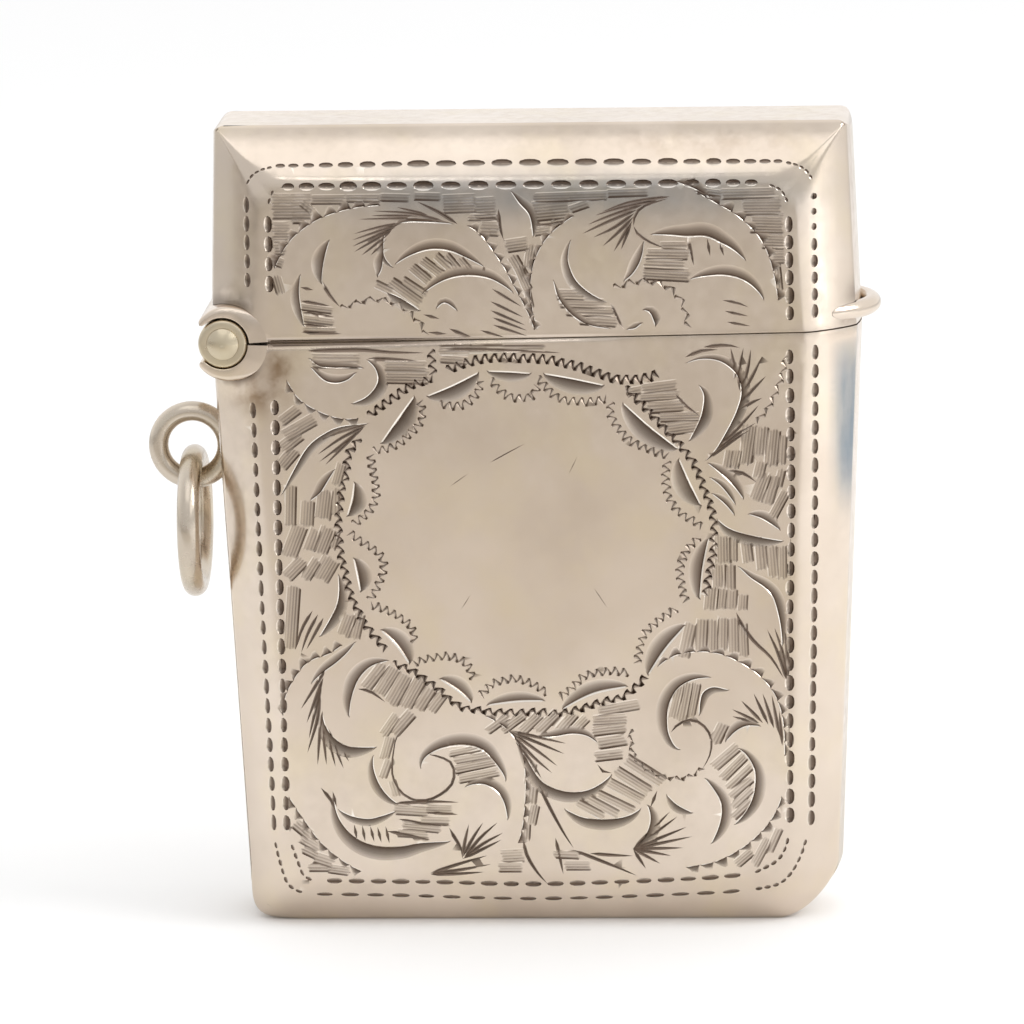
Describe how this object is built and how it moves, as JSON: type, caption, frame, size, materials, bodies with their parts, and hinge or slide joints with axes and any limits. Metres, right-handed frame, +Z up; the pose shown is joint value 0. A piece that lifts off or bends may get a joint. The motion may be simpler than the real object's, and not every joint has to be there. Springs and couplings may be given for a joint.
{
  "type": "vesta case",
  "caption": "Slim hinged silver match case with bevelled panels, side thumb ledge, loop with ring and a striker in the base.",
  "frame": {"origin": "centre of the base, on the plane the case stands on", "axes": "+Z up towards the lid, +X towards the thumb ledge with the hinge at -X, -Y out of the front panel"},
  "size_m": [0.0408, 0.0096, 0.045],
  "materials": {
    "silver": "polished",
    "silver_worn": "satin"
  },
  "bodies": {
    "case": {"body_front": "silver", "body_back": "silver", "striker_plate": "silver_worn", "mouth_bezel": "silver_worn", "body_bearer": "silver", "body_knuckle_front": "silver", "body_knuckle_middle": "silver", "body_knuckle_back": "silver", "hinge_pin": "silver", "suspension_eye": "silver"},
    "lid": {"lid_front": "silver", "lid_back": "silver", "lid_bearer": "silver", "lid_knuckle_front": "silver", "lid_knuckle_back": "silver", "thumb_piece": "silver"},
    "ring": {"jump_ring": "silver"}
  },
  "joints": [
    {"name": "lid_hinge", "type": "hinge", "parent": "case", "child": "lid", "pos_m": [-0.017, 0, 0.03316], "axis": [0, -1, 0], "range_deg": [0, 75]},
    {"name": "ring_swing", "type": "hinge", "parent": "case", "child": "ring", "pos_m": [-0.0193, 0, 0.02473], "axis": [1, 0, 0], "range_deg": [-80, 80]}
  ]
}
